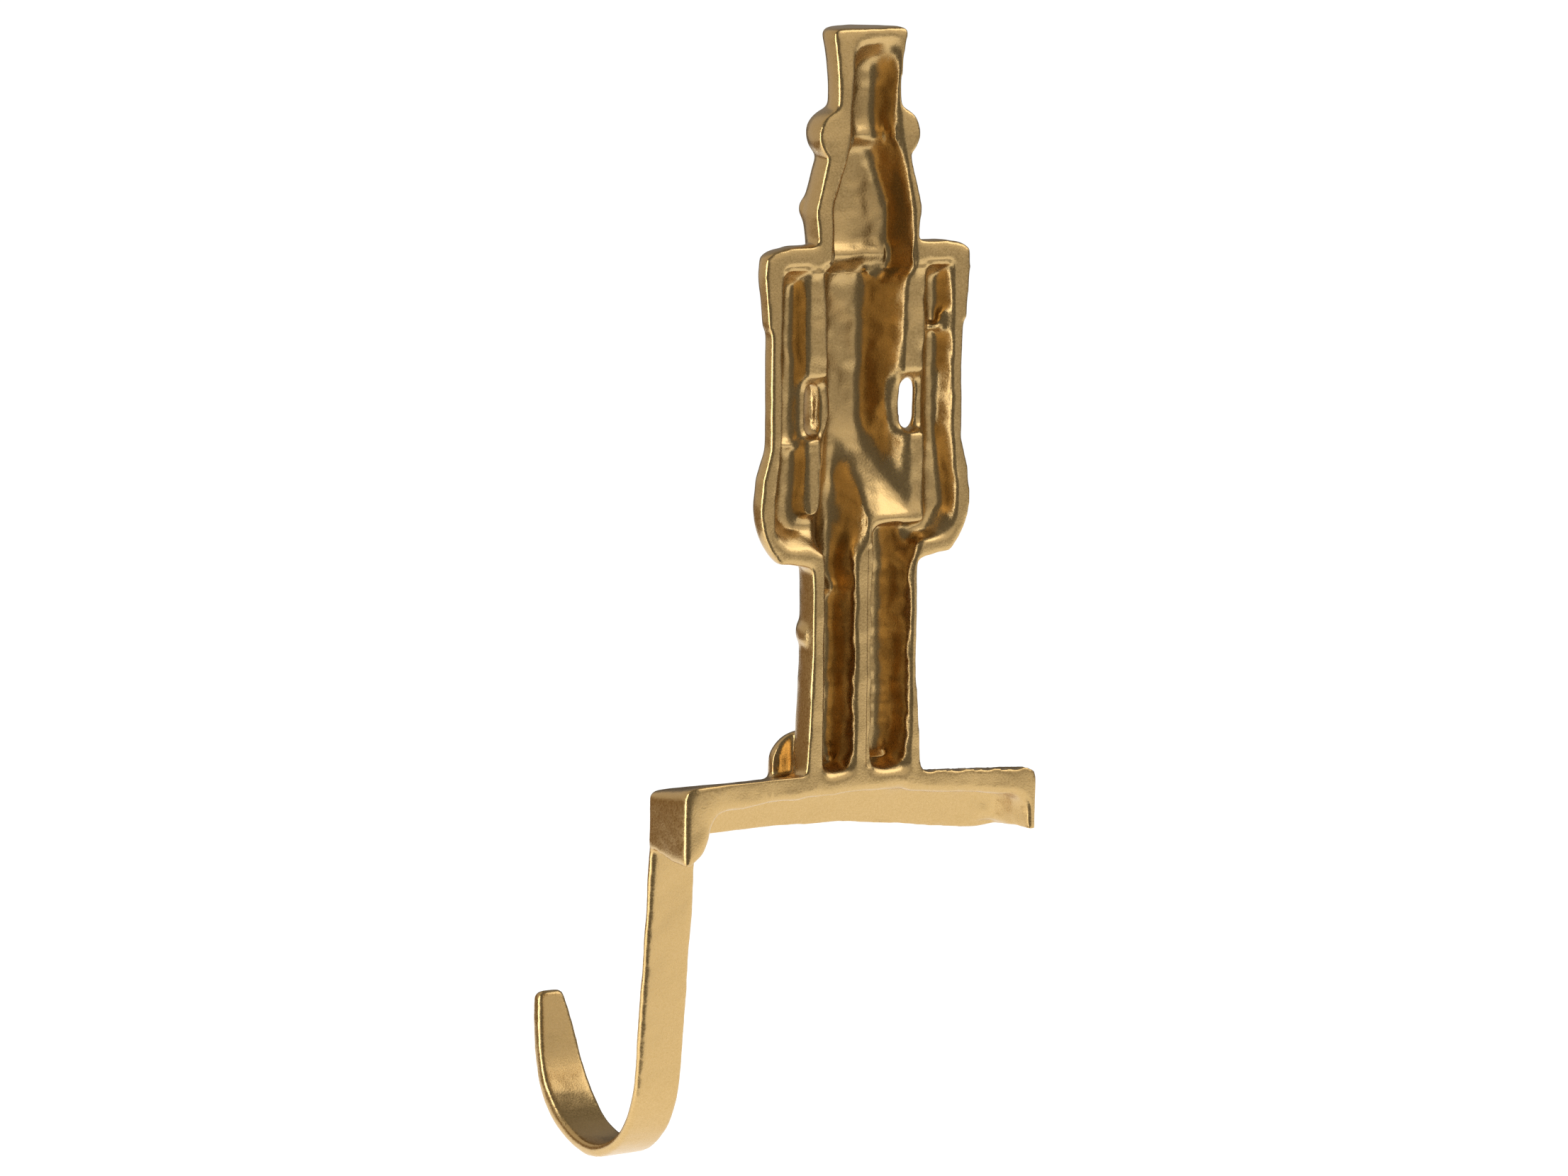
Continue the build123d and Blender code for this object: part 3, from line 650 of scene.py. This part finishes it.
def white_floor():
    """Wide round sheet of white paper below the hook."""
    mesh = bpy.data.meshes.new("white_floor")
    ring = bmesh.new()
    bmesh.ops.create_circle(ring, cap_ends=True, radius=FLOOR_RADIUS, segments=96)
    ring.to_mesh(mesh)
    ring.free()
    mesh.materials.append(white_paper())
    floor = bpy.data.objects.new("white_floor", mesh)
    floor.location = (0, 0, low.z - FLOOR_DROP)
    bpy.context.scene.collection.objects.link(floor)
    floor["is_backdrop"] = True
    return floor


def studio_room():
    """Room that is white to look at, and sheds a soft grey light."""
    world = bpy.data.worlds.new("studio_room")
    world.use_nodes = True
    bpy.context.scene.world = world
    tree = world.node_tree
    tree.nodes.clear()
    level = add_node(tree, "ShaderNodeMapRange", {"Value": seen_rays(tree), **ROOM_GLOW})
    white = {"Color": linear("#FFFFFF"), "Strength": level.outputs["Result"]}
    light = add_node(tree, "ShaderNodeBackground", white)
    add_node(tree, "ShaderNodeOutputWorld", {"Surface": light.outputs["Background"]})
    return world


floor = white_floor()
room = studio_room()
print("floor at, in mm:", round(floor.location.z / MM, 1))

# %% [markdown]
# ## Cards
#
# In a white room gold looks flat. A photographer stands cards around it, just out of the picture, and the
# metal shows them as its middle tones and darks. Six stand in a ring, named for the direction they stand
# in: 150 is the camera's, 210 is what the flat rims show, and 30 is what the soldier's side shows, a warm
# brown below and paler above. A grey ceiling hangs over them. Black flags alone would do for polished
# metal, but satin gold needs greys that change with height. Only the metal sees the cards, so they cast no
# shadow and change no light.

# %% Cards: their material
RAMP = 0.5  # height over which a card's greys change


def card_stock(name, greys):
    """Card with one grey, or with greys at shares of the lowest half metre."""
    material = bpy.data.materials.new(name)
    material.use_nodes = True
    tree = material.node_tree
    tree.nodes.clear()
    colour = linear(greys[0.0])
    if len(greys) > 1:
        place = add_node(tree, "ShaderNodeTexCoord").outputs["Object"]
        height = add_node(tree, "ShaderNodeSeparateXYZ", {"Vector": place}).outputs["Z"]
        foot = floor.location.z
        span = {"From Min": foot, "From Max": foot + RAMP}
        rise = add_node(tree, "ShaderNodeMapRange", {"Value": height, **span})
        ramp = add_node(tree, "ShaderNodeValToRGB", {"Fac": rise.outputs["Result"]})
        stops = ramp.color_ramp.elements
        while len(stops) < len(greys):
            stops.new(1.0)
        for stop, (share, grey) in zip(stops, greys.items()):
            stop.position = share
            stop.color = linear(grey)
        colour = ramp.outputs["Color"]
    tone = add_node(tree, "ShaderNodeEmission", {"Color": colour, "Strength": 1.0})
    add_node(tree, "ShaderNodeOutputMaterial", {"Surface": tone.outputs["Emission"]})
    return material


print("greys change over, in m:", RAMP)

# %% Cards: stand them up
CARD_TOP = 1.4
CEILING_HALF = 2.0
CEILING = {0.0: "#86837F"}
CARDS = {  # direction: distances of foot and top, and greys by height
    30: (0.45, 0.45, {0.0: "#86683F", 0.26: "#8C704A", 0.38: "#D6CDBF"}),
    90: (0.48, 0.48, {0.0: "#605E5C"}),
    150: (0.16, 0.60, {0.0: "#747270"}),
    210: (0.75, 0.75, {0.0: "#D2CEC8", 0.2: "#AEAAA4", 0.35: "#9C9893", 0.55: "#F6F2EC"}),
    270: (0.90, 0.90, {0.0: "#8C8986", 1.0: "#7A7774"}),
    330: (0.90, 0.90, {0.0: "#4A4846", 0.5: "#4A4846", 1.0: "#9A9794"}),
}
middle = (low + high) / 2


def add_card(name, corners, greys):
    """Card that the metal alone sees."""
    mesh = bpy.data.meshes.new(name)
    mesh.from_pydata(corners, [], [(0, 1, 2, 3)])
    mesh.materials.append(card_stock(name, greys))
    card = bpy.data.objects.new(name, mesh)
    bpy.context.scene.collection.objects.link(card)
    card.visible_camera = False
    card.visible_diffuse = False
    card.visible_shadow = False
    card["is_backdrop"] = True
    return card


def ring_corners(azimuth, foot, top):
    """Corners of a card as wide as its share of the ring, so far out at its foot and its top."""
    turn = math.radians(azimuth)
    out = Vector((math.sin(turn), -math.cos(turn), 0))
    side = Vector((math.cos(turn), math.sin(turn), 0)) * math.tan(math.pi / len(CARDS))
    centre = Vector((middle.x, middle.y, 0))
    low_edge = [centre + (out + sign * side) * foot + Vector((0, 0, floor.location.z)) for sign in (-1, 1)]
    high_edge = [centre + (out + sign * side) * top + Vector((0, 0, CARD_TOP)) for sign in (1, -1)]
    return low_edge + high_edge


cards = []
for azimuth, (foot, top, greys) in CARDS.items():
    cards.append(add_card("grey_card_%d" % azimuth, ring_corners(azimuth, foot, top), greys))
ceiling = [(x * CEILING_HALF, y * CEILING_HALF, CARD_TOP) for x, y in ((-1, -1), (1, -1), (1, 1), (-1, 1))]
cards.append(add_card("grey_ceiling", ceiling, CEILING))
print("cards:", [card.name for card in cards])

# %% [markdown]
# ## Lamps
#
# Two soft lamps do what the cards can't. A tall one on the hook's side draws the bright line along the
# soldier's edges. A wide one above and behind fills the bowls of the hollow, which face up. A point lamp
# would leave hard dots on satin metal. An area lamp leaves its own broad shape, so its width is chosen by
# the highlight.

# %% Lamps
LAMPS = {
    "hook_side_lamp": {"place": (0.42, -0.015, 0.10), "width": 0.20, "height": 0.44, "level": 5.0},
    "overhead_lamp": {"place": (-0.55, 0.36, 0.57), "width": 0.8, "height": 0.6, "level": 1.8},
}


def add_lamp(name, place, width, height, level):
    """Soft lamp at a place, aimed at the holder, and this many times as bright as white paper."""
    data = bpy.data.lights.new(name, "AREA")
    data.shape = "RECTANGLE"
    data.size = width
    data.size_y = height
    data.energy = level * math.pi * width * height
    lamp = bpy.data.objects.new(name, data)
    lamp.location = place
    lamp.rotation_euler = (middle - Vector(place)).to_track_quat("-Z", "Y").to_euler()
    lamp.visible_camera = False
    bpy.context.scene.collection.objects.link(lamp)
    return lamp


lamps = [add_lamp(name, **lamp) for name, lamp in LAMPS.items()]
print("lamps:", [lamp.name for lamp in lamps])

# %% [markdown]
# ## Finish
#
# Blender must not change the object's size, so the CAD box and the box of what is shown are printed
# side by side.

# %% Finish
bpy.context.scene.view_settings.view_transform = "Standard"
shown_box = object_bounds()
boxes = {"cad": [list(corner) for corner in cad_box], "shown": [list(corner) for corner in shown_box]}
for name, box in boxes.items():
    print(name, "box in mm:", [[round(c / MM, 2) for c in corner] for corner in box])
